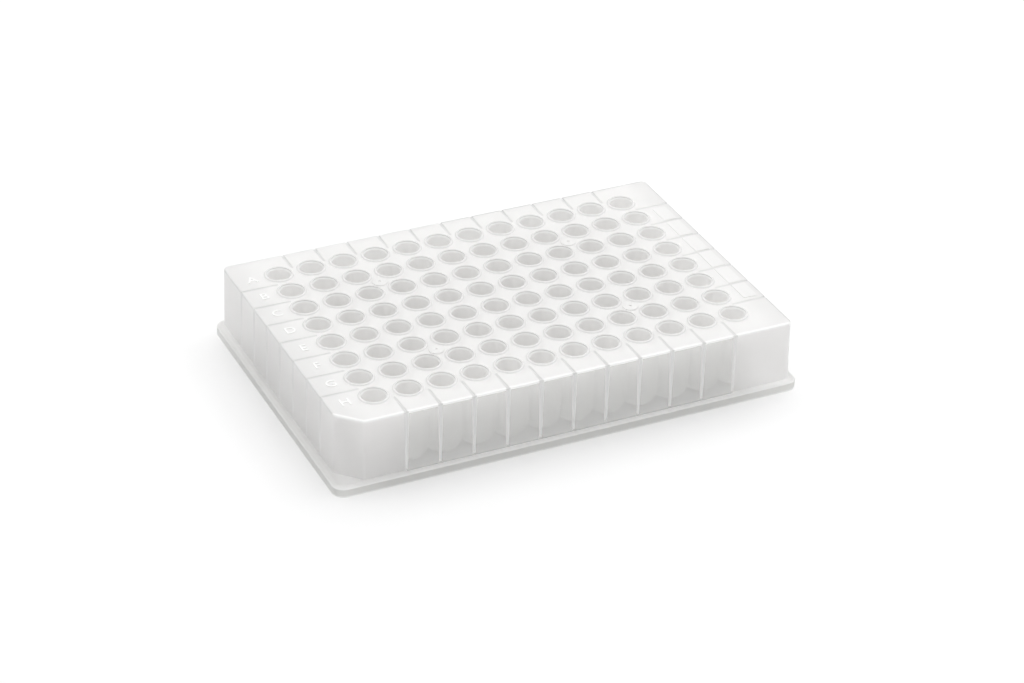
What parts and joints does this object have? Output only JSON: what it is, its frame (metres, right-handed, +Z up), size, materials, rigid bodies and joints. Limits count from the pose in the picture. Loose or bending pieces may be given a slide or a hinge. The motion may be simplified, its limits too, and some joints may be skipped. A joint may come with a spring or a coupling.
{
  "type": "well plate",
  "caption": "Rectangular lab plate with a grid of deep round V-bottomed wells hanging from a flat deck, a skirt wall with a flanged foot, and one cut corner.",
  "frame": {"origin": "middle of the footprint, on the plane that the foot stands on", "axes": "+X along a row of wells from column 1 to column 12, +Y along a column from row H to row A, +Z up out of the wells"},
  "size_m": [0.1278, 0.0854, 0.0198],
  "materials": {
    "polypropylene": "natural milky translucent polypropylene, satin"
  },
  "bodies": {
    "root": {"plate": "polypropylene"}
  },
  "joints": []
}
